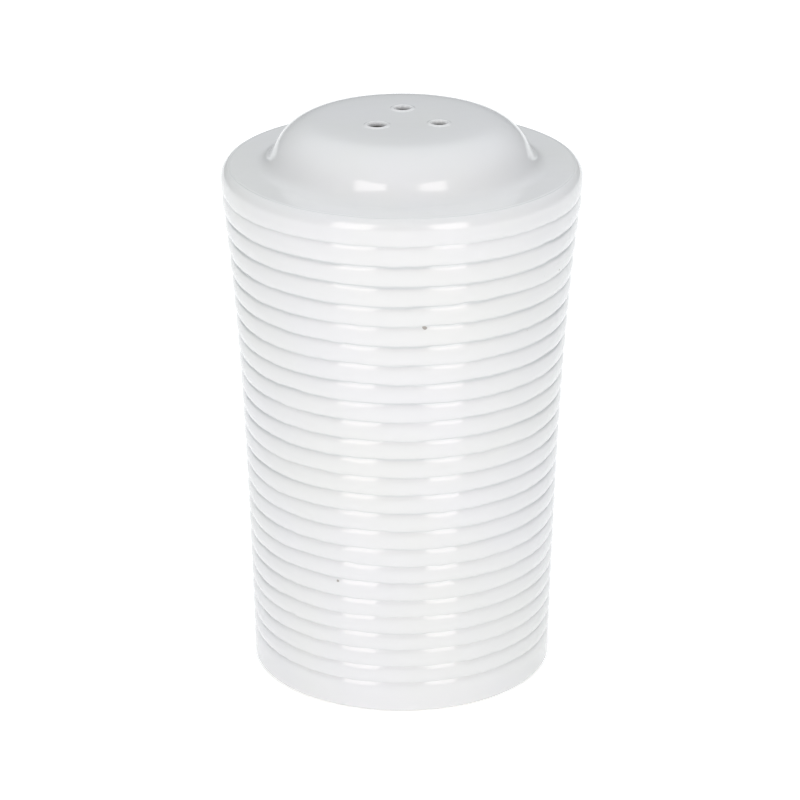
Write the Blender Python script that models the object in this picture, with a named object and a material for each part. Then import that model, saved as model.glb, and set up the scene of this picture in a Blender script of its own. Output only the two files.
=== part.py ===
"""A porcelain pepper shaker: a ribbed pot with a pierced dome, and the stopper in its filling hole.

Metres, +Z up. The origin is the centre of the foot, on the surface that the shaker stands on.
"""

import math

import bmesh
import bpy

MM = 0.001
QUARTER = math.pi / 2

# Overall sizes of the pot
HEIGHT = 80.0 * MM
BASE_RADIUS = 21.05 * MM
RIM_RADIUS = 24.85 * MM
WALL = 3.0 * MM

# Side wall: a straight taper plus a flare that gathers towards the rim
STRAIGHT_SHARE = 0.49
FLARE_POWER = 3.5
RIM_ROUND = 2.0 * MM
RIM_EDGE_ROUND = 0.5 * MM  # tighter rounding where the rim meets the shoulder
RIM_TURN = math.radians(52)  # slope of the surface where the one rounding passes into the other
FOOT_ROUND = 0.8 * MM
FOOT_INNER_ROUND = 0.4 * MM

# Grooves between the ribs
GROOVE_COUNT = 25
RIM_BAND = 3.75 * MM  # from the shoulder down to the first groove
FOOT_BAND = 4.56 * MM  # from the foot up to the last groove
GROOVE_WIDTH = 1.5 * MM
GROOVE_DEPTH = 0.38 * MM
GROOVE_CROWDING = 0.089  # how much closer together the grooves are towards the foot

# Dome, and the flat shoulder round it
DOME_RISE = 6.42 * MM
SHOULDER_WIDTH = 2.8 * MM  # from the dome's fillet to where a plain rounding of the rim would start
DOME_FILLET = 2.36 * MM
DOME_FLANK = math.radians(72.5)  # steepest slope, between the fillet and the corner
CROWN_RISE = 0.3 * MM  # how far the crown swells above the dome's rounded corner

# Pouring holes
HOLE_COUNT = 3
HOLE_RADIUS = 1.05 * MM
HOLE_CIRCLE_RADIUS = 4.9 * MM
HOLE_CIRCLE_X = 0.6 * MM
FIRST_HOLE = math.radians(95.8)
CUTTER_LENGTH = 4 * WALL

# Underside: foot ring, recess and filling hole
FOOT_RING_WIDTH = 3.4 * MM
RECESS_DEPTH = 5.0 * MM
RECESS_ROUND = 1.2 * MM
FLOOR_THICKNESS = 3.2 * MM
FILLING_RADIUS = 9.5 * MM
FILLING_ROUND = 0.5 * MM
INNER_ROUND = 2.5 * MM

# Stopper
FIT_GAP = 0.3 * MM  # left between the stopper and the porcelain, all round
HEAD_OVERLAP = 2.5 * MM  # how far the head reaches past the filling hole
HEAD_THICKNESS = 1.8 * MM
HEAD_ROUND = 0.5 * MM
STEM_PROUD = 1.6 * MM  # how far the stem stands up inside the pot
STEM_WALL = 1.6 * MM
BEAD_HEIGHT = 0.5 * MM  # how far the sealing beads stand out from the stem
BEAD_COUNT = 2
TAB_WIDTH = 7.0 * MM
TAB_THICKNESS = 1.1 * MM
TAB_LIFT = 0.36 * MM  # from the head's underside up to the tab's
TAB_GAP = 1.9 * MM  # finger room between the tab's end and the foot ring

# Worked out from the sizes above
SHOULDER_HEIGHT = HEIGHT - DOME_RISE
DOME_FOOT_RADIUS = RIM_RADIUS - RIM_ROUND - SHOULDER_WIDTH
RECESS_RADIUS = BASE_RADIUS - FOOT_RING_WIDTH - FOOT_ROUND
HEAD_RADIUS = FILLING_RADIUS + HEAD_OVERLAP

# Fineness of the round shapes
POT_SEGMENTS = 40
STOPPER_SEGMENTS = 32
HOLE_SEGMENTS = 16
WALL_STEPS = 7
SMOOTH_ANGLE = math.radians(40)
WELD = 0.001 * MM


def clear_scene():
    for old in list(bpy.data.objects):
        bpy.data.objects.remove(old, do_unlink=True)


def material(name, colour, roughness, coat=0.0):
    made = bpy.data.materials.new(name)
    made.use_nodes = True
    shader = made.node_tree.nodes["Principled BSDF"]
    shader.inputs["Base Color"].default_value = (*colour, 1.0)
    shader.inputs["Roughness"].default_value = roughness
    shader.inputs["Metallic"].default_value = 0.0
    shader.inputs["Coat Weight"].default_value = coat
    return made


def arc(centre, radius, start, end, steps):
    """Points (r, z) of an arc, with angles measured from the +R direction towards +Z."""
    points = []
    for step in range(steps + 1):
        angle = start + (end - start) * step / steps
        points.append((centre[0] + radius * math.cos(angle), centre[1] + radius * math.sin(angle)))
    return points


def wall_radius(z):
    """Outside of the side wall at height z, over the tops of the ribs."""
    share = min(z / (SHOULDER_HEIGHT - RIM_BAND), 1.0)
    flare = STRAIGHT_SHARE * share + (1 - STRAIGHT_SHARE) * share**FLARE_POWER
    return BASE_RADIUS + (RIM_RADIUS - BASE_RADIUS) * flare


def groove_heights():
    top = SHOULDER_HEIGHT - RIM_BAND
    heights = []
    for index in range(GROOVE_COUNT):
        share = index / (GROOVE_COUNT - 1)
        share += GROOVE_CROWDING * share * (1 - share)
        heights.append(top - share * (top - FOOT_BAND))
    return heights


def dome_profile(inset):
    """Dome from its apex down to the shoulder, set in from the outside by inset.

    The crown, the rounded corner and the fillet are arcs that run into each other.
    """
    lean = 1 - math.cos(DOME_FLANK)
    corner = (DOME_RISE - CROWN_RISE) / lean - DOME_FILLET
    corner_r = DOME_FOOT_RADIUS - (DOME_FILLET + corner) * math.sin(DOME_FLANK)
    corner_z = HEIGHT - CROWN_RISE - corner
    crown_drop = HEIGHT - corner_z
    crown = (corner_r**2 + crown_drop**2 - corner**2) / (2 * CROWN_RISE)
    crown_z = HEIGHT - crown
    meet = math.atan2(corner_z - crown_z, corner_r)
    points = arc((0.0, crown_z), crown - inset, QUARTER, meet, 3)
    points += arc((corner_r, corner_z), corner - inset, meet, QUARTER - DOME_FLANK, 5)[1:]
    fillet_at = (DOME_FOOT_RADIUS, SHOULDER_HEIGHT + DOME_FILLET)
    points += arc(fillet_at, DOME_FILLET + inset, -QUARTER - DOME_FLANK, -QUARTER, 3)[1:]
    return points


def rim_profile():
    """The rim's rounding: a tight turn at the shoulder's edge, then a wide one down to the wall."""
    wide_r = RIM_RADIUS - RIM_ROUND
    tight_r = wide_r + (RIM_ROUND - RIM_EDGE_ROUND) * math.cos(RIM_TURN)
    tight_z = SHOULDER_HEIGHT - RIM_EDGE_ROUND
    wide_z = tight_z - (RIM_ROUND - RIM_EDGE_ROUND) * math.sin(RIM_TURN)
    points = arc((tight_r, tight_z), RIM_EDGE_ROUND, QUARTER, RIM_TURN, 2)
    return points + arc((wide_r, wide_z), RIM_ROUND, RIM_TURN, 0.0, 3)[1:]


def outer_profile():
    """From the dome's apex, over the shoulder and the ribs, to the outer edge of the foot."""
    points = dome_profile(0.0) + rim_profile()
    for height in groove_heights():
        for offset, depth in ((0.5, 0.0), (0.0, GROOVE_DEPTH), (-0.5, 0.0)):
            z = height + offset * GROOVE_WIDTH
            points.append((wall_radius(z) - depth, z))
    foot_at = (wall_radius(FOOT_ROUND) - FOOT_ROUND, FOOT_ROUND)
    points += arc(foot_at, FOOT_ROUND, 0.0, -QUARTER, 3)
    return points


def underside_profile():
    """From the inner edge of the foot ring, up the recess and through the filling hole."""
    edge = FOOT_INNER_ROUND
    points = arc((RECESS_RADIUS + edge, edge), edge, -QUARTER, -2 * QUARTER, 2)
    corner = (RECESS_RADIUS - RECESS_ROUND, RECESS_DEPTH - RECESS_ROUND)
    points += arc(corner, RECESS_ROUND, 0.0, QUARTER, 3)
    lip = FILLING_RADIUS + FILLING_ROUND
    points += arc((lip, RECESS_DEPTH + FILLING_ROUND), FILLING_ROUND, -QUARTER, -2 * QUARTER, 2)
    inside = RECESS_DEPTH + FLOOR_THICKNESS
    points += arc((lip, inside - FILLING_ROUND), FILLING_ROUND, 2 * QUARTER, QUARTER, 2)
    return points


def chamber_profile():
    """Inside of the pot, from its floor up the wall and under the dome to the axis."""
    floor = RECESS_DEPTH + FLOOR_THICKNESS
    ceiling = SHOULDER_HEIGHT - WALL
    low = floor + INNER_ROUND
    high = ceiling - INNER_ROUND
    points = arc((wall_radius(low) - WALL - INNER_ROUND, low), INNER_ROUND, -QUARTER, 0.0, 3)
    for step in range(1, WALL_STEPS):
        z = low + (high - low) * step / WALL_STEPS
        points.append((wall_radius(z) - WALL, z))
    points += arc((wall_radius(high) - WALL - INNER_ROUND, high), INNER_ROUND, 0.0, QUARTER, 3)
    points += reversed(dome_profile(WALL))
    return points


def turned(name, profile, segments, finish):
    """A solid of revolution about Z. The profile starts and ends on the axis, outer side first."""
    mesh = bmesh.new()
    line = [mesh.verts.new((r, 0.0, z)) for r, z in profile]
    edges = [mesh.edges.new(pair) for pair in zip(line, line[1:])]
    bmesh.ops.spin(
        mesh,
        geom=line + edges,
        cent=(0, 0, 0),
        axis=(0, 0, 1),
        angle=2 * math.pi,
        steps=segments,
        use_merge=True,
    )
    bmesh.ops.remove_doubles(mesh, verts=mesh.verts, dist=WELD)
    bmesh.ops.recalc_face_normals(mesh, faces=mesh.faces)
    return new_object(name, mesh, finish)


def new_object(name, mesh, finish):
    data = bpy.data.meshes.new(name)
    mesh.to_mesh(data)
    mesh.free()
    data.materials.append(finish)
    data.shade_smooth()
    data.set_sharp_from_angle(angle=SMOOTH_ANGLE)
    made = bpy.data.objects.new(name, data)
    bpy.context.collection.objects.link(made)
    return made


def boolean(target, helper, operation):
    """Cuts the helper from the target, or joins it on, and leaves it out of renders."""
    modifier = target.modifiers.new(helper.name, "BOOLEAN")
    modifier.operation = operation
    modifier.solver = "EXACT"
    modifier.object = helper
    helper.hide_render = True
    helper.display_type = "WIRE"


def hole_cutter(index, finish):
    angle = FIRST_HOLE + 2 * math.pi * index / HOLE_COUNT
    mesh = bmesh.new()
    bmesh.ops.create_cone(
        mesh,
        cap_ends=True,
        segments=HOLE_SEGMENTS,
        radius1=HOLE_RADIUS,
        radius2=HOLE_RADIUS,
        depth=CUTTER_LENGTH,
    )
    cutter = new_object(f"pouring_hole_{index + 1}", mesh, finish)
    cutter.location = (
        HOLE_CIRCLE_X + HOLE_CIRCLE_RADIUS * math.cos(angle),
        HOLE_CIRCLE_RADIUS * math.sin(angle),
        HEIGHT - WALL,
    )
    return cutter


def make_pot():
    glaze = material("porcelain_glaze", (0.90, 0.91, 0.92), 0.18, coat=0.6)
    profile = outer_profile() + underside_profile() + chamber_profile()
    pot = turned("shaker_body", profile, POT_SEGMENTS, glaze)
    for index in range(HOLE_COUNT):
        boolean(pot, hole_cutter(index, glaze), "DIFFERENCE")
    return pot


def stopper_profile():
    """Stopper about its own origin, which is the middle of the head's top face."""
    bead_radius = FILLING_RADIUS - FIT_GAP
    stem_radius = bead_radius - BEAD_HEIGHT
    bore = stem_radius - STEM_WALL
    top = FIT_GAP + FLOOR_THICKNESS + STEM_PROUD
    points = [(0.0, 0.0), (bore, 0.0), (bore, top)]
    points += arc((stem_radius - HEAD_ROUND, top - HEAD_ROUND), HEAD_ROUND, QUARTER, 0.0, 2)
    span = (FIT_GAP + FLOOR_THICKNESS) / BEAD_COUNT
    for bead in reversed(range(BEAD_COUNT)):
        middle = span * (bead + 0.5)
        points += [(stem_radius, middle + BEAD_HEIGHT), (bead_radius, middle)]
        points += [(stem_radius, middle - BEAD_HEIGHT)]
    points.append((stem_radius, 0.0))
    rim = HEAD_RADIUS - HEAD_ROUND
    points += arc((rim, -HEAD_ROUND), HEAD_ROUND, QUARTER, 0.0, 2)
    points += arc((rim, HEAD_ROUND - HEAD_THICKNESS), HEAD_ROUND, 0.0, -QUARTER, 2)
    points.append((0.0, -HEAD_THICKNESS))
    return points


def pull_tab(finish):
    """Tongue with a round end that stands out from the edge of the stopper's head."""
    reach = RECESS_RADIUS - TAB_GAP
    half = TAB_WIDTH / 2
    start = FILLING_RADIUS
    outline = [(start, -half)]
    outline += arc((reach - half, 0.0), half, -QUARTER, QUARTER, 10)
    outline.append((start, half))
    mesh = bmesh.new()
    face = mesh.faces.new([mesh.verts.new((x, y, 0.0)) for x, y in outline])
    grown = bmesh.ops.extrude_face_region(mesh, geom=[face])["geom"]
    lifted = [item for item in grown if isinstance(item, bmesh.types.BMVert)]
    bmesh.ops.translate(mesh, verts=lifted, vec=(0, 0, TAB_THICKNESS))
    bmesh.ops.recalc_face_normals(mesh, faces=mesh.faces)
    return new_object("pull_tab", mesh, finish)


def make_stopper():
    rubber = material("stopper_rubber", (0.80, 0.80, 0.77), 0.55)
    stopper = turned("filling_stopper", stopper_profile(), STOPPER_SEGMENTS, rubber)
    stopper.location = (0, 0, RECESS_DEPTH - FIT_GAP)
    tab = pull_tab(rubber)
    tab.location = (0, 0, TAB_LIFT - HEAD_THICKNESS)
    tab.parent = stopper
    boolean(stopper, tab, "UNION")
    return stopper


def main():
    clear_scene()
    make_pot()
    make_stopper()


main()
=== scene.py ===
"""Looks of a white porcelain pepper shaker: fine meshes, glaze, soft studio light and the camera."""

import math

import bmesh
import bpy
import numpy as np
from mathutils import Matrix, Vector


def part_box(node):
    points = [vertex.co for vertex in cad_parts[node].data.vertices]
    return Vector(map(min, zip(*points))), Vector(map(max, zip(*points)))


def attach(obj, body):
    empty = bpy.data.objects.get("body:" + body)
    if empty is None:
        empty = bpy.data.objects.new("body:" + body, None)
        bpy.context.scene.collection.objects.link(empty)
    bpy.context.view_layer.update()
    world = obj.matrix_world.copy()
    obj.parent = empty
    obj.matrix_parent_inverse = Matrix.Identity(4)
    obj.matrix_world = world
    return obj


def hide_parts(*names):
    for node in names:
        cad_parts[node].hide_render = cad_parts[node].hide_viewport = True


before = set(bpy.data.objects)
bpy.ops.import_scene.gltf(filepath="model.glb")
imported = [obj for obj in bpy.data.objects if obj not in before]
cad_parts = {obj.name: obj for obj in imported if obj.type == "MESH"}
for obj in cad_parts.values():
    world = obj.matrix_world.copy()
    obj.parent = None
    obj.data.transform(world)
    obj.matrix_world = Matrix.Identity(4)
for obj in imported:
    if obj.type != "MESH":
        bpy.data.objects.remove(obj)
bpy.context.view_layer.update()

MM = 0.001

# Sizes that the frame gives
POT_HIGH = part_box("shaker_body")[1]
STOPPER_LOW, STOPPER_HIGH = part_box("filling_stopper")
HEIGHT = POT_HIGH[2]
RIM_RADIUS = POT_HIGH[0]

# Design sizes of the pot, as in the CAD model
BASE_RADIUS = 21.05 * MM
WALL = 3.0 * MM
STRAIGHT_SHARE = 0.49
FLARE_POWER = 3.5
RIM_ROUND = 2.0 * MM
RIM_EDGE_ROUND = 0.5 * MM
RIM_TURN = math.radians(52)
FOOT_ROUND = 0.8 * MM
FOOT_INNER_ROUND = 0.4 * MM
RIM_BAND = 3.75 * MM
FOOT_BAND = 4.56 * MM
GROOVE_COUNT = 25
GROOVE_DEPTH = 0.30 * MM
FIRST_GROOVE_SHARE = 0.6  # the groove under the rim is shallower than the others
GROOVE_CROWDING = 0.089
CREASE_DEPTH = 0.08 * MM  # the sharp line at the bottom of each groove
CREASE_WIDTH = 0.18 * MM
# Width of the painted shade that darkens each crease, with a faint tint of glaze pooling.
CREASE_SHADE_WIDTH = 0.30 * MM
CREASE_DRIFT = 0.20 * MM  # how far a groove wanders up or down
DRIFT_WAVES = 60
CREASE_VARIATION = 0.45
VARIATION_WAVES = 14
LOW_CREASE_SHARE = 0.35  # the creases are softer near the foot
RIM_LINE_DEPTH = 0.05 * MM
RIM_LINE_WIDTH = 0.13 * MM
# How dark the fine rim line is painted with shade, as a share of the crease shade colour.
RIM_LINE_SHADE = 0.5
RIM_LINE_WANDER_WAVES = 70
RIM_LINE_DEPTH_WAVES = 30
DOME_RISE = 6.42 * MM
SHOULDER_WIDTH = 2.8 * MM
DOME_FILLET = 2.36 * MM
DOME_FLANK = math.radians(72.5)
CROWN_RISE = 0.3 * MM
DOME_EASE = 0.9 * MM  # how far the dome's bends are spread
DOME_STEP = 0.25 * MM
DISH_RADIUS = 12 * MM  # the crown is lowered inside this, so that the lips stay below the top
SLOPE_STEP = 0.1 * MM
HOLE_COUNT = 3
HOLE_RADIUS = 1.05 * MM
HOLE_SPREAD = (0.97, 1.09, 0.93)  # each hole is punched by hand
HOLE_ROUND = 0.40 * MM
LIP_RISE = 0.15 * MM
LIP_SPREAD = 0.45 * MM
HOLE_CIRCLE_RADIUS = 4.9 * MM
HOLE_CIRCLE_X = 0.6 * MM
FIRST_HOLE = math.radians(95.8)
FOOT_RING_WIDTH = 3.4 * MM
RECESS_DEPTH = 5.0 * MM
RECESS_ROUND = 1.2 * MM
FLOOR_THICKNESS = 3.2 * MM
FILLING_RADIUS = 9.5 * MM
FILLING_ROUND = 0.5 * MM
INNER_ROUND = 2.5 * MM
SHOULDER_HEIGHT = HEIGHT - DOME_RISE
DOME_FOOT_RADIUS = RIM_RADIUS - RIM_ROUND - SHOULDER_WIDTH
RECESS_RADIUS = BASE_RADIUS - FOOT_RING_WIDTH - FOOT_ROUND

# Design sizes of the stopper, as in the CAD model
FIT_GAP = 0.3 * MM
HEAD_THICKNESS = 1.8 * MM
STEM_PROUD = 1.6 * MM
STEM_WALL = 1.6 * MM
BEAD_HEIGHT = 0.5 * MM
BEAD_COUNT = 2
TAB_WIDTH = 7.0 * MM
TAB_THICKNESS = 1.1 * MM
TAB_LIFT = 0.36 * MM
HEAD_RADIUS = STOPPER_HIGH[1]
TAB_END = STOPPER_HIGH[0]

# Fineness
POT_SEGMENTS = 288
RIB_ROWS = 14
STOPPER_SEGMENTS = 128
QUARTER = math.pi / 2


# ---------------------------------------------------------------- outlines


def arc(centre, radius, start, end, steps):
    """Points (r, z) of an arc, with angles measured from the +R direction towards +Z."""
    angles = np.linspace(start, end, steps + 1)
    return [(centre[0] + radius * math.cos(a), centre[1] + radius * math.sin(a)) for a in angles]


def line(start, end, steps):
    """Points between two ends, without the ends."""
    shares = np.linspace(0.0, 1.0, steps + 1)[1:-1]
    return [tuple(np.add(start, np.subtract(end, start) * share)) for share in shares]


def wall_radius(z):
    share = np.minimum(z / (SHOULDER_HEIGHT - RIM_BAND), 1.0)
    flare = STRAIGHT_SHARE * share + (1 - STRAIGHT_SHARE) * share**FLARE_POWER
    return BASE_RADIUS + (RIM_RADIUS - BASE_RADIUS) * flare


def groove_heights():
    top = SHOULDER_HEIGHT - RIM_BAND
    shares = np.linspace(0.0, 1.0, GROOVE_COUNT)
    shares += GROOVE_CROWDING * shares * (1 - shares)
    return top - shares * (top - FOOT_BAND)


def dome_outline(inset, fineness):
    """Dome from its apex down to the shoulder, set in from the outside by inset."""
    lean = 1 - math.cos(DOME_FLANK)
    corner = (DOME_RISE - CROWN_RISE) / lean - DOME_FILLET
    corner_r = DOME_FOOT_RADIUS - (DOME_FILLET + corner) * math.sin(DOME_FLANK)
    corner_z = HEIGHT - CROWN_RISE - corner
    crown_drop = HEIGHT - corner_z
    crown = (corner_r**2 + crown_drop**2 - corner**2) / (2 * CROWN_RISE)
    crown_z = HEIGHT - crown
    meet = math.atan2(corner_z - crown_z, corner_r)
    points = arc((0.0, crown_z), crown - inset, QUARTER, meet, 9 * fineness)
    points += arc((corner_r, corner_z), corner - inset, meet, QUARTER - DOME_FLANK, 7 * fineness)[1:]
    fillet_at = (DOME_FOOT_RADIUS, SHOULDER_HEIGHT + DOME_FILLET)
    start = -QUARTER - DOME_FLANK
    points += arc(fillet_at, DOME_FILLET + inset, start, -QUARTER, 3 * fineness)[1:]
    return points


def rim_outline():
    """The rim's rounding: a tight turn at the shoulder's edge, then a wide one down to the wall."""
    tight = RIM_EDGE_ROUND
    inner_r = RIM_RADIUS - RIM_ROUND + (RIM_ROUND - tight) * math.cos(RIM_TURN)
    inner_z = SHOULDER_HEIGHT - tight
    wide_z = inner_z - (RIM_ROUND - tight) * math.sin(RIM_TURN)
    points = arc((inner_r, inner_z), tight, QUARTER, RIM_TURN, 6)
    return points + arc((RIM_RADIUS - RIM_ROUND, wide_z), RIM_ROUND, RIM_TURN, 0.0, 14)[1:]


def eased(points, reach, step):
    """The same outline with its bends eased over about reach, with both ends kept."""
    points = np.array(points)
    along = np.concatenate([[0.0], np.cumsum(np.hypot(*np.diff(points, axis=0).T))])
    even = np.linspace(0.0, along[-1], round(along[-1] / step) + 1)
    curve = np.stack([np.interp(even, along, points[:, i]) for i in (0, 1)], axis=1)
    mirrored = np.concatenate([(curve * (-1, 1))[:0:-1], curve])
    offsets = even[None, :] - np.concatenate([-even[:0:-1], even])[:, None]
    weights = np.exp(-0.5 * (offsets / reach) ** 2)
    soft = (weights.T @ mirrored) / weights.sum(axis=0)[:, None]
    share = np.clip((along[-1] - even) / (3 * reach), 0.0, 1.0)[:, None]
    soft = curve + (soft - curve) * share
    soft[:, 1] += points[0, 1] - soft[0, 1]
    soft[0, 0] = 0.0
    return [tuple(point) for point in soft]


def top_outline():
    """From the apex over the dome and the shoulder to the rim's widest line."""
    dome = np.array(eased(dome_outline(0.0, 4), DOME_EASE, DOME_STEP))
    dished = np.cos(np.clip(dome[:, 0] / DISH_RADIUS, 0.0, 1.0) * math.pi) / 2 + 0.5
    dome[:, 1] -= LIP_RISE * dished
    rim = rim_outline()
    shoulder = spaced(rim[0][0], dome[-1, 0], 16, both=False)[-2:0:-1]
    return [tuple(point) for point in dome] + [(radius, rim[0][1]) for radius in shoulder] + rim


def spaced(start, end, count, both):
    """Heights from start to end, closer together near the start, or near both ends."""
    turn = np.linspace(0.0, math.pi if both else QUARTER, count + 1)
    shares = (1 - np.cos(turn)) / (2 if both else 1)
    return start + (end - start) * shares


def side_rows(rim_foot):
    """Heights of the wall's rows from the rim down to the foot, closest at each groove."""
    grooves = groove_heights()
    rows = list(spaced(grooves[0], rim_foot, 8, both=False)[-2:0:-1])
    for high, low in zip(grooves, grooves[1:]):
        rows += list(spaced(high, low, RIB_ROWS, both=True)[:-1])
    rows += list(spaced(grooves[-1], FOOT_ROUND, 12, both=False)[:-1])
    return np.array(rows)


def foot_outline():
    """From the foot's outer edge, under the foot ring and through the filling hole."""
    foot_at = (wall_radius(FOOT_ROUND) - FOOT_ROUND, FOOT_ROUND)
    points = arc(foot_at, FOOT_ROUND, 0.0, -QUARTER, 8)
    edge = FOOT_INNER_ROUND
    inner = arc((RECESS_RADIUS + edge, edge), edge, -QUARTER, -2 * QUARTER, 5)
    points += line(points[-1], inner[0], 8) + inner
    corner = (RECESS_RADIUS - RECESS_ROUND, RECESS_DEPTH - RECESS_ROUND)
    ceiling = arc(corner, RECESS_ROUND, 0.0, QUARTER, 8)
    points += line(points[-1], ceiling[0], 6) + ceiling
    lip = FILLING_RADIUS + FILLING_ROUND
    low = arc((lip, RECESS_DEPTH + FILLING_ROUND), FILLING_ROUND, -QUARTER, -2 * QUARTER, 5)
    points += line(points[-1], low[0], 10) + low
    inside = RECESS_DEPTH + FLOOR_THICKNESS
    points += arc((lip, inside - FILLING_ROUND), FILLING_ROUND, 2 * QUARTER, QUARTER, 5)
    return points


def chamber_outline():
    """Inside of the pot, from its floor up the wall and under the dome to the axis."""
    low = RECESS_DEPTH + FLOOR_THICKNESS + INNER_ROUND
    high = SHOULDER_HEIGHT - WALL - INNER_ROUND
    points = arc((wall_radius(low) - WALL - INNER_ROUND, low), INNER_ROUND, -QUARTER, 0.0, 6)
    points += [(float(wall_radius(z)) - WALL, float(z)) for z in np.linspace(low, high, 14)[1:-1]]
    points += arc((wall_radius(high) - WALL - INNER_ROUND, high), INNER_ROUND, 0.0, QUARTER, 6)
    points += reversed(dome_outline(WALL, 1))
    return points


# ---------------------------------------------------------------- meshes


def finished(name, mesh, sharp_degrees=50.0):
    mesh.shade_smooth()
    mesh.set_sharp_from_angle(angle=math.radians(sharp_degrees))
    made = bpy.data.objects.new(name, mesh)
    bpy.context.collection.objects.link(made)
    return made


def turned(name, radii, heights, extra=None):
    """A closed solid of revolution from grids of radii and heights, one row per outline point.

    The first and the last row lie on the axis and become one point each.
    """
    rows, segments = radii.shape
    angles = 2 * math.pi * np.arange(segments) / segments
    grid = np.stack([radii * np.cos(angles), radii * np.sin(angles), heights], axis=2)
    points = [grid[0, 0], *grid[1:-1].reshape(-1, 3), grid[-1, 0]]
    last = len(points) - 1

    def at(row, column):
        return 1 + (row - 1) * segments + column % segments

    faces = []
    for column in range(segments):
        faces.append((0, at(1, column), at(1, column + 1)))
        faces.append((last, at(rows - 2, column + 1), at(rows - 2, column)))
    for row in range(1, rows - 2):
        for column in range(segments):
            low = at(row + 1, column), at(row + 1, column + 1)
            faces.append((at(row, column), *low, at(row, column + 1)))
    mesh = bpy.data.meshes.new(name)
    mesh.from_pydata([tuple(point) for point in points], [], faces)
    if extra is not None:
        label, values = extra
        flat = np.concatenate([values[0, :1], values[1:-1].ravel(), values[-1, :1]])
        mesh.attributes.new(label, "FLOAT", "POINT").data.foreach_set("value", flat)
    return finished(name, mesh)


def wobble(rng, angles, count, waves):
    """One closed, uneven wave round the pot for each of count grooves, between -1 and 1."""
    total = np.zeros((count, len(angles)))
    for wave in range(1, waves + 1):
        phase = rng.uniform(0, 2 * math.pi, (count, 1))
        total += rng.uniform(0.3, 1.0, (count, 1)) * np.sin(wave * angles + phase) / wave**0.6
    return total / np.abs(total).max()


def side_grids(rim_foot):
    """Radius, height and the share of painted crease shade, over a faint tint of glaze pooling, at each
    point of the ribbed wall.

    Round ribs meet in narrow creases, which wander a little, as in cast and glazed ware.
    """
    rng = np.random.default_rng(7)
    angles = 2 * math.pi * np.arange(POT_SEGMENTS) / POT_SEGMENTS
    grooves = groove_heights()
    half_ribs = -np.gradient(grooves) / 2
    rows = side_rows(rim_foot)
    nearest = np.abs(rows[:, None] - grooves).argmin(axis=1)
    drift = CREASE_DRIFT * wobble(rng, angles, GROOVE_COUNT, DRIFT_WAVES)
    strength = 1 + CREASE_VARIATION * wobble(rng, angles, GROOVE_COUNT, VARIATION_WAVES)
    strength[0] *= FIRST_GROOVE_SHARE
    sharp = strength * np.linspace(1.0, LOW_CREASE_SHARE, GROOVE_COUNT)[:, None]
    distance = np.abs(rows - grooves[nearest])[:, None]
    slope = np.clip(1 - distance / half_ribs[nearest][:, None], 0.0, 1.0)
    rib = GROOVE_DEPTH * slope**2 * (0.75 + 0.25 * strength[nearest])
    crease = CREASE_DEPTH * np.exp(-((distance / CREASE_WIDTH) ** 2)) * sharp[nearest]
    heights = rows[:, None] + drift[nearest] * slope
    radii = wall_radius(heights) - rib - crease
    # Share of painted shade in each crease, over a faint tint of glaze pooling.
    pool_and_shade = np.exp(-((distance / CREASE_SHADE_WIDTH) ** 2)) * sharp[nearest]
    return radii, heights, pool_and_shade


def rim_line(top):
    """How deep the fine line at the shoulder's outer edge is, at each point of the top; the same share
    also darkens it with painted shade.
    """
    rng = np.random.default_rng(11)
    angles = 2 * math.pi * np.arange(POT_SEGMENTS) / POT_SEGMENTS
    edge_r, edge_z = rim_outline()[0]
    wander = RIM_LINE_WIDTH * wobble(rng, angles, 1, RIM_LINE_WANDER_WAVES)
    share = np.exp(-(((top[:, :1] - edge_r - wander) / RIM_LINE_WIDTH) ** 2))
    share[top[:, 1] < edge_z - RIM_LINE_WIDTH] = 0.0
    return share * (1 + CREASE_VARIATION * wobble(rng, angles, 1, RIM_LINE_DEPTH_WAVES))


def pot_mesh():
    top = np.array(top_outline())
    rest = np.array(foot_outline() + chamber_outline())
    radii, heights, pool_and_shade = side_grids(top[-1, 1])
    plain = [np.repeat(part[:, i : i + 1], POT_SEGMENTS, axis=1) for part in (top, rest) for i in (0, 1)]
    radii = np.concatenate([plain[0], radii, plain[2]])
    fine_line = rim_line(top)
    heights = np.concatenate([plain[1] - RIM_LINE_DEPTH * fine_line, heights, plain[3]])
    # Painted shade along the creases and along the fine rim line.
    pool_and_shade = np.concatenate([RIM_LINE_SHADE * fine_line, pool_and_shade, np.zeros_like(plain[2])])
    return turned("pot", radii, heights, ("glaze_pool_and_shade", pool_and_shade))


def at_each_hole(name, outline_of):
    """One object with a solid turned from outline_of(radius) at each pouring hole."""
    gathered = bmesh.new()
    for index, spread in enumerate(HOLE_SPREAD):
        outline = np.array(outline_of(HOLE_RADIUS * spread))
        angle = FIRST_HOLE + 2 * math.pi * index / HOLE_COUNT
        x = HOLE_CIRCLE_X + HOLE_CIRCLE_RADIUS * math.cos(angle)
        y = HOLE_CIRCLE_RADIUS * math.sin(angle)
        one = turned(name, *(np.repeat(outline[:, i : i + 1], 64, axis=1) for i in (0, 1)))
        one.data.transform(dome_placement(x, y))
        gathered.from_mesh(one.data)
        bpy.data.objects.remove(one)
    mesh = bpy.data.meshes.new(name)
    gathered.to_mesh(mesh)
    return finished(name, mesh)


def lip_outline(radius):
    """Low button that leaves a raised lip when the hole is cut through it."""
    crest = radius + HOLE_ROUND
    turns = np.linspace(0.0, math.pi, 9)
    rises = 0.4 + 0.6 * np.cos(turns)
    outer = [(crest + LIP_SPREAD * turn / math.pi, LIP_RISE * rise) for turn, rise in zip(turns, rises)]
    foot = (outer[-1][0], -WALL / 2)
    return [(0.0, LIP_RISE), *outer, foot, (0.0, foot[1])]


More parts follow.
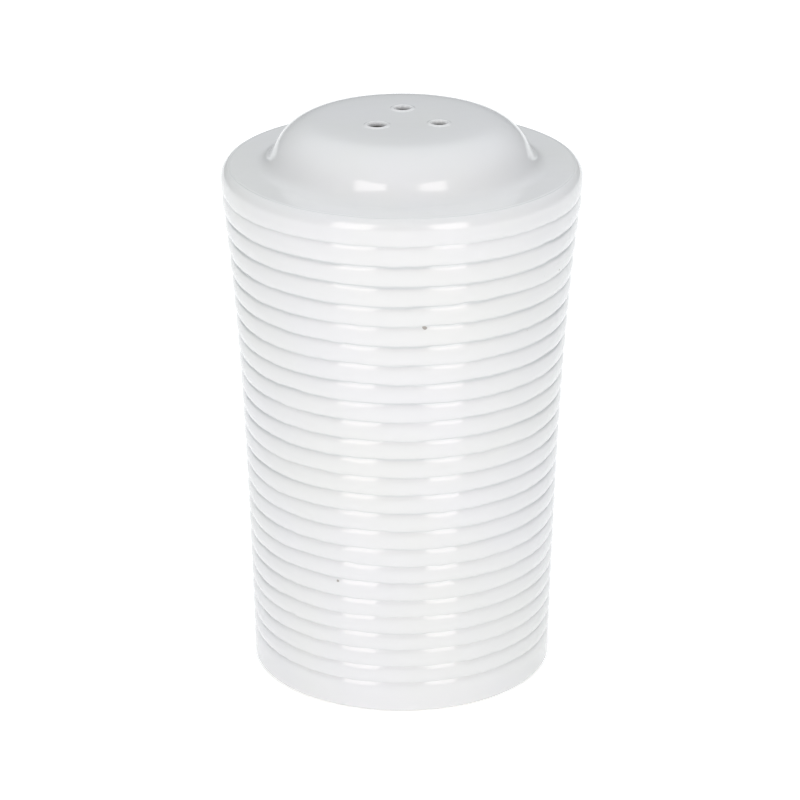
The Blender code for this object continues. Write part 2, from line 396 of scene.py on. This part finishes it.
def hole_outline(radius):
    """Bore of a pouring hole, with a rounded mouth at the top of its lip."""
    flare = math.radians(80)
    bend_at = (radius + HOLE_ROUND, LIP_RISE - HOLE_ROUND * math.sin(flare))
    bend = arc(bend_at, HOLE_ROUND, 2 * QUARTER, 2 * QUARTER - flare, 10)
    mouth = (bend[-1][0] + math.sin(flare) * MM, bend[-1][1] + math.cos(flare) * MM)
    return [(0.0, mouth[1]), mouth, *reversed(bend), (radius, -2 * WALL), (0.0, -2 * WALL)]


def dome_placement(x, y):
    """Matrix that puts +Z upright on the dome's crown at (x, y), square to its surface."""
    crown = np.array(top_outline())
    order = np.argsort(crown[:, 0])
    reach = math.hypot(x, y)
    z, nearby = np.interp([reach, reach + SLOPE_STEP], crown[order, 0], crown[order, 1])
    slope = (nearby - z) / SLOPE_STEP
    normal = Vector((-slope * x / reach, -slope * y / reach, 1.0))
    placed = normal.to_track_quat("Z", "Y").to_matrix().to_4x4()
    placed.translation = (x, y, z)
    return placed


def applied(target, name):
    """The target with its modifiers applied, under a new name."""
    graph = bpy.context.evaluated_depsgraph_get()
    mesh = bpy.data.meshes.new_from_object(target.evaluated_get(graph))
    made = finished(name, mesh)
    bpy.data.objects.remove(target)
    return made


def make_pot():
    blank = pot_mesh()
    lips = at_each_hole("raised_lips", lip_outline)
    bores = at_each_hole("pouring_holes", hole_outline)
    for tool, operation in ((lips, "UNION"), (bores, "DIFFERENCE")):
        step = blank.modifiers.new(tool.name, "BOOLEAN")
        step.operation = operation
        step.solver = "EXACT"
        step.object = tool
    pot = applied(blank, "porcelain_pot")
    bpy.data.objects.remove(lips)
    bpy.data.objects.remove(bores)
    return pot


# ---------------------------------------------------------------- stopper


def stopper_outline():
    """Closed outline of the stopper, turned about Z, at its rest height in the pot."""
    seat = RECESS_DEPTH - FIT_GAP
    bead_radius = FILLING_RADIUS - FIT_GAP
    stem = bead_radius - BEAD_HEIGHT
    bore = stem - STEM_WALL
    top = seat + FIT_GAP + FLOOR_THICKNESS + STEM_PROUD
    lip = STEM_WALL / 2
    points = [(0.0, seat)] + line((0.0, seat), (bore - lip, seat), 8)
    points += arc((bore - lip, seat + lip), lip, -QUARTER, 0.0, 5)
    points += arc((stem - lip, top - lip), lip, 2 * QUARTER, 0.0, 10)
    span = (FIT_GAP + FLOOR_THICKNESS) / BEAD_COUNT
    for bead in reversed(range(BEAD_COUNT)):
        middle = seat + span * (bead + 0.5)
        points += arc((stem, middle), BEAD_HEIGHT, QUARTER, -QUARTER, 8)
    points.append((stem, seat))
    edge = HEAD_THICKNESS / 2
    points += line((stem, seat), (HEAD_RADIUS - edge, seat), 4)
    points += arc((HEAD_RADIUS - edge, seat - edge), edge, QUARTER, -QUARTER, 12)
    under = seat - HEAD_THICKNESS
    ring, dip = 0.72 * HEAD_RADIUS, 0.28 * MM
    points += arc((ring, under), dip, 0.0, 2 * QUARTER, 6)
    points += [(0.2 * HEAD_RADIUS, under), (0.0, under)]
    return points


def pull_tab():
    """Tongue with a round end that stands out from the edge of the stopper's head."""
    half = TAB_WIDTH / 2
    low = STOPPER_LOW[2] + TAB_LIFT
    outline = [(FILLING_RADIUS, -half)]
    outline += arc((TAB_END - half, 0.0), half, -QUARTER, QUARTER, 24)
    outline.append((FILLING_RADIUS, half))
    mesh = bmesh.new()
    face = mesh.faces.new([mesh.verts.new((x, y, low)) for x, y in outline])
    grown = bmesh.ops.extrude_face_region(mesh, geom=[face])["geom"]
    lifted = [item for item in grown if isinstance(item, bmesh.types.BMVert)]
    bmesh.ops.translate(mesh, verts=lifted, vec=(0, 0, TAB_THICKNESS))
    bmesh.ops.recalc_face_normals(mesh, faces=mesh.faces)
    data = bpy.data.meshes.new("pull_tab")
    mesh.to_mesh(data)
    return finished("pull_tab", data)


def make_stopper():
    outline = np.array(stopper_outline())
    grids = (np.repeat(outline[:, i : i + 1], STOPPER_SEGMENTS, axis=1) for i in (0, 1))
    blank = turned("stopper", *grids)
    tab = pull_tab()
    join = blank.modifiers.new("tab", "BOOLEAN")
    join.operation = "UNION"
    join.solver = "EXACT"
    join.object = tab
    mould = blank.modifiers.new("mould", "REMESH")
    mould.mode = "VOXEL"
    mould.voxel_size = 0.2 * MM
    soften = blank.modifiers.new("soften", "SMOOTH")
    soften.factor = 0.5
    soften.iterations = 6
    stopper = applied(blank, "rubber_stopper")
    bpy.data.objects.remove(tab)
    return stopper


# ---------------------------------------------------------------- materials


class Nodes:
    """Short way to add and join the nodes of one material."""

    def __init__(self, material):
        material.use_nodes = True
        self.tree = material.node_tree
        self.shader = self.tree.nodes["Principled BSDF"]

    def add(self, kind, **values):
        node = self.tree.nodes.new(kind)
        for name, value in values.items():
            label = name.replace("_", " ").title()
            if label in node.inputs:
                self.put(value, node.inputs[label])
            else:
                setattr(node, name, value)
        return node

    def put(self, value, socket):
        if isinstance(value, bpy.types.NodeSocket):
            self.tree.links.new(value, socket)
        else:
            socket.default_value = value

    def math(self, operation, first, second, clamp=False):
        node = self.tree.nodes.new("ShaderNodeMath")
        node.operation = operation
        node.use_clamp = clamp
        self.put(first, node.inputs[0])
        self.put(second, node.inputs[1])
        return node.outputs[0]

    def noise(self, scale, detail=2.0, roughness=0.5, distortion=0.0):
        place = self.tree.nodes.new("ShaderNodeTexCoord").outputs["Object"]
        node = self.add("ShaderNodeTexNoise", scale=scale, detail=detail, roughness=roughness,
                        distortion=distortion)
        self.tree.links.new(place, node.inputs["Vector"])
        return node.outputs["Fac"]

    def ramp(self, value, low, high, start=0.0, end=1.0):
        node = self.tree.nodes.new("ShaderNodeMapRange")
        node.interpolation_type = "SMOOTHSTEP"
        self.put(value, node.inputs["Value"])
        for name, number in zip(("From Min", "From Max", "To Min", "To Max"), (low, high, start, end)):
            self.put(number, node.inputs[name])
        return node.outputs["Result"]

    def blend(self, share, first, second):
        node = self.tree.nodes.new("ShaderNodeMix")
        node.data_type = "RGBA"
        self.put(share, node.inputs[0])
        self.put(first, node.inputs[6])
        self.put(second, node.inputs[7])
        return node.outputs[2]

    def bump(self, height, strength, distance, below=None):
        node = self.add("ShaderNodeBump", strength=strength, distance=distance, height=height)
        if below is not None:
            self.tree.links.new(below, node.inputs["Normal"])
        return node.outputs["Normal"]

    def along_axis(self):
        """The object's own Z, in metres."""
        place = self.tree.nodes.new("ShaderNodeTexCoord").outputs["Object"]
        split = self.add("ShaderNodeSeparateXYZ")
        self.tree.links.new(place, split.inputs[0])
        return split.outputs["Z"]

    def from_axis(self):
        """The distance from the object's own Z axis, in metres."""
        place = self.tree.nodes.new("ShaderNodeTexCoord").outputs["Object"]
        flat = self.add("ShaderNodeVectorMath", operation="MULTIPLY")
        flat.inputs[1].default_value = (1.0, 1.0, 0.0)
        self.tree.links.new(place, flat.inputs[0])
        away = self.add("ShaderNodeVectorMath", operation="LENGTH")
        self.tree.links.new(flat.outputs[0], away.inputs[0])
        return away.outputs["Value"]

    def set(self, **values):
        for name, value in values.items():
            self.put(value, self.shader.inputs[name.replace("_", " ")])


def porcelain():
    """White porcelain under a clear glaze that stops at the foot ring, with painted shade darkening the
    creases over a faint bluish tint of glaze pooling, and painted shade down the pouring holes.
    """
    material = bpy.data.materials.new("white_glaze")
    nodes = Nodes(material)
    height = nodes.along_axis()

    body = (0.780, 0.779, 0.788, 1.0)
    warm = (0.778, 0.780, 0.770, 1.0)
    # Painted crease shade: a darker, faintly bluish tone of the glaze.
    pool_and_shade = (0.640, 0.660, 0.670, 1.0)
    # Near black painted shade for the depths of the pouring holes.
    dust_and_shade = (0.085, 0.080, 0.072, 1.0)
    biscuit = (0.780, 0.755, 0.700, 1.0)
    speck = (0.42, 0.39, 0.36, 1.0)

    cloud = nodes.noise(55.0, detail=3.0)
    colour = nodes.blend(nodes.ramp(cloud, 0.35, 0.7), body, warm)
    # The creases and the rim line are darkened with painted shade.
    depth = nodes.add("ShaderNodeAttribute", attribute_name="glaze_pool_and_shade").outputs["Fac"]
    colour = nodes.blend(nodes.math("MULTIPLY", nodes.ramp(depth, 0.2, 1.0), 0.7), colour, pool_and_shade)
    dots = nodes.ramp(nodes.noise(800.0, detail=0.0), 0.885, 0.91)
    colour = nodes.blend(dots, colour, speck)

    # Painted shade down the pouring holes: the middle of the crown below its surface is painted near
    # black.
    middle = nodes.ramp(nodes.from_axis(), 8 * MM, 9 * MM, 1.0, 0.0)
    sunk = nodes.ramp(height, HEIGHT - 0.75 * MM, HEIGHT - 0.45 * MM, 1.0, 0.0)
    above = nodes.ramp(height, HEIGHT - WALL - 2 * MM, HEIGHT - WALL - 1 * MM)
    hole_shade = nodes.math("MULTIPLY", nodes.math("MULTIPLY", middle, sunk), above)
    colour = nodes.blend(hole_shade, colour, dust_and_shade)

    edge = nodes.math("MULTIPLY", nodes.noise(260.0, detail=3.0), 0.5 * MM)
    bare = nodes.ramp(nodes.math("ADD", edge, height), 0.32 * MM, 0.55 * MM, 1.0, 0.0)
    grain = nodes.noise(2600.0, detail=4.0, roughness=0.7)
    bare_colour = nodes.blend(nodes.ramp(grain, 0.3, 0.7), biscuit, warm)
    colour = nodes.blend(bare, colour, bare_colour)

    ripple = nodes.noise(170.0, detail=2.0)
    peel = nodes.noise(900.0, detail=1.0)
    gloss = nodes.ramp(ripple, 0.3, 0.75, 0.08, 0.13)
    rough = nodes.math("ADD", gloss, nodes.math("MULTIPLY", bare, 0.6))
    surface = nodes.bump(ripple, 0.10, 0.3 * MM)
    surface = nodes.bump(peel, 0.04, 0.1 * MM, surface)
    surface = nodes.bump(nodes.math("MULTIPLY", grain, bare), 0.5, 0.1 * MM, surface)
    nodes.set(Base_Color=colour, Roughness=rough, Normal=surface, IOR=1.56)
    return material


def rubber():
    """Milky soft rubber with a fine moulded grain and a faint dusting."""
    material = bpy.data.materials.new("milky_rubber")
    nodes = Nodes(material)
    fresh = (0.74, 0.74, 0.71, 1.0)
    dust_and_shade = (0.66, 0.655, 0.62, 1.0)
    colour = nodes.blend(nodes.ramp(nodes.noise(140.0, detail=4.0), 0.35, 0.75), fresh, dust_and_shade)
    grain = nodes.noise(3200.0, detail=3.0, roughness=0.6)
    rough = nodes.ramp(nodes.noise(320.0, detail=2.0), 0.3, 0.7, 0.42, 0.58)
    nodes.set(Base_Color=colour, Roughness=rough, Normal=nodes.bump(grain, 0.25, 0.05 * MM))
    nodes.set(Subsurface_Weight=0.25, Subsurface_Scale=1.5 * MM, IOR=1.41)
    return material


def paper_floor():
    """Pale sweep under the shaker, seen from above only, so that the underside can be looked at."""
    material = bpy.data.materials.new("pale_floor")
    nodes = Nodes(material)
    shade = nodes.blend(nodes.noise(9.0), (0.93, 0.93, 0.93, 1.0), (0.95, 0.95, 0.95, 1.0))
    nodes.set(Base_Color=shade, Roughness=0.8, Emission_Color=(1.0, 1.0, 1.0, 1.0))
    nodes.set(Emission_Strength=FLOOR_GLOW)
    clear = nodes.tree.nodes.new("ShaderNodeBsdfTransparent")
    side = nodes.tree.nodes.new("ShaderNodeNewGeometry")
    either = nodes.tree.nodes.new("ShaderNodeMixShader")
    out = nodes.tree.nodes["Material Output"]
    nodes.tree.links.new(side.outputs["Backfacing"], either.inputs[0])
    nodes.tree.links.new(nodes.shader.outputs[0], either.inputs[1])
    nodes.tree.links.new(clear.outputs[0], either.inputs[2])
    nodes.tree.links.new(either.outputs[0], out.inputs["Surface"])
    return material


# ---------------------------------------------------------------- studio

CAMERA_DISTANCE = 506.4 * MM
CAMERA_ELEVATION = math.radians(21.73)
CAMERA_AIM = Vector((-0.26 * MM, 0.0, 38.5 * MM))
LENS = 161.8
FLOOR_GLOW = 0.27
FLOOR_SIZE = 4.0
SKY_BANDS = ((0, 0.24), (18, 0.30), (45, 0.80), (90, 0.98))
SKY_TINT = (0.925, 0.975, 1.0)
LAMP_COLOUR = (1.0, 0.935, 0.920)
LAMP_RADIANCE = 3.3
HIGHLIGHT_RADIANCE = 3.4
# Azimuth and elevation in degrees, distance, width and height in metres, then radiance
SOFT_LIGHTS = {
    "left_softbox": (-31.0, 12.0, 0.7, 0.20, 0.34, LAMP_RADIANCE),
    "right_softbox": (37.0, 12.0, 0.7, 0.16, 0.34, LAMP_RADIANCE),
    "back_softbox": (180.0, 52.0, 0.9, 0.70, 0.40, 1.5),
    "front_softbox": (0.0, 48.0, 0.9, 0.80, 0.40, 1.35),
}
HIGHLIGHTS = {
    "left_highlight": (-30.5, 20.0, 0.7, 0.31, 0.52, HIGHLIGHT_RADIANCE),
    "right_highlight": (29.5, 20.0, 0.7, 0.27, 0.52, HIGHLIGHT_RADIANCE),
}


def direction(azimuth, elevation):
    """Unit vector from the shaker. Azimuth 0 is the camera's side, -Y, and 90 is +X."""
    flat = math.cos(elevation)
    return Vector((flat * math.sin(azimuth), -flat * math.cos(azimuth), math.sin(elevation)))


def make_camera():
    data = bpy.data.cameras.new("camera")
    data.lens = LENS
    data.sensor_width = 36.0
    data.clip_start = 0.01
    camera = bpy.data.objects.new("camera", data)
    away = direction(0.0, CAMERA_ELEVATION)
    camera.location = CAMERA_AIM + away * CAMERA_DISTANCE
    camera.rotation_euler = (-away).to_track_quat("-Z", "Y").to_euler()
    bpy.context.collection.objects.link(camera)
    bpy.context.scene.camera = camera


def softbox(name, azimuth, elevation, distance, width, height, radiance):
    """Rectangular light that faces the middle of the shaker."""
    data = bpy.data.lights.new(name, "AREA")
    data.shape = "RECTANGLE"
    data.color = LAMP_COLOUR
    data.size = width
    data.size_y = height
    data.energy = radiance * math.pi * width * height
    light = bpy.data.objects.new(name, data)
    away = direction(math.radians(azimuth), math.radians(elevation))
    light.location = Vector((0, 0, HEIGHT / 2)) + away * distance
    light.rotation_euler = (-away).to_track_quat("-Z", "Y").to_euler()
    bpy.context.collection.objects.link(light)
    return light


def make_sky():
    """Pale room round the shaker: dim near the horizon and brightest overhead."""
    world = bpy.data.worlds.new("studio")
    world.use_nodes = True
    nodes, links = world.node_tree.nodes, world.node_tree.links
    place = nodes.new("ShaderNodeTexCoord")
    split = nodes.new("ShaderNodeSeparateXYZ")
    bands = nodes.new("ShaderNodeValToRGB")
    bands.color_ramp.interpolation = "EASE"
    while len(bands.color_ramp.elements) < len(SKY_BANDS):
        bands.color_ramp.elements.new(1.0)
    for element, (elevation, light) in zip(bands.color_ramp.elements, SKY_BANDS):
        element.position = math.sin(math.radians(elevation))
        element.color = (*(light * tint for tint in SKY_TINT), 1.0)
    links.new(place.outputs["Generated"], split.inputs[0])
    links.new(split.outputs["Z"], bands.inputs["Fac"])
    links.new(bands.outputs["Color"], nodes["Background"].inputs["Color"])
    return world


def make_studio():
    mesh = bpy.data.meshes.new("floor")
    half = FLOOR_SIZE / 2
    corners = [(-half, -half, 0), (half, -half, 0), (half, half, 0), (-half, half, 0)]
    mesh.from_pydata(corners, [], [(0, 1, 2, 3)])
    floor = bpy.data.objects.new("floor", mesh)
    floor.data.materials.append(paper_floor())
    bpy.context.collection.objects.link(floor)
    bpy.context.scene.world = make_sky()
    bpy.context.scene.view_settings.view_transform = "Standard"
    for name, values in SOFT_LIGHTS.items():
        softbox(name, *values).visible_glossy = False
    for name, values in HIGHLIGHTS.items():
        softbox(name, *values).visible_diffuse = False


# ---------------------------------------------------------------- assembly


def dress(piece, material, body, node):
    piece.data.materials.clear()
    piece.data.materials.append(material)
    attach(piece, body)
    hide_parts(node)


dress(make_pot(), porcelain(), "shaker", "shaker_body")
dress(make_stopper(), rubber(), "stopper", "filling_stopper")
make_camera()
make_studio()
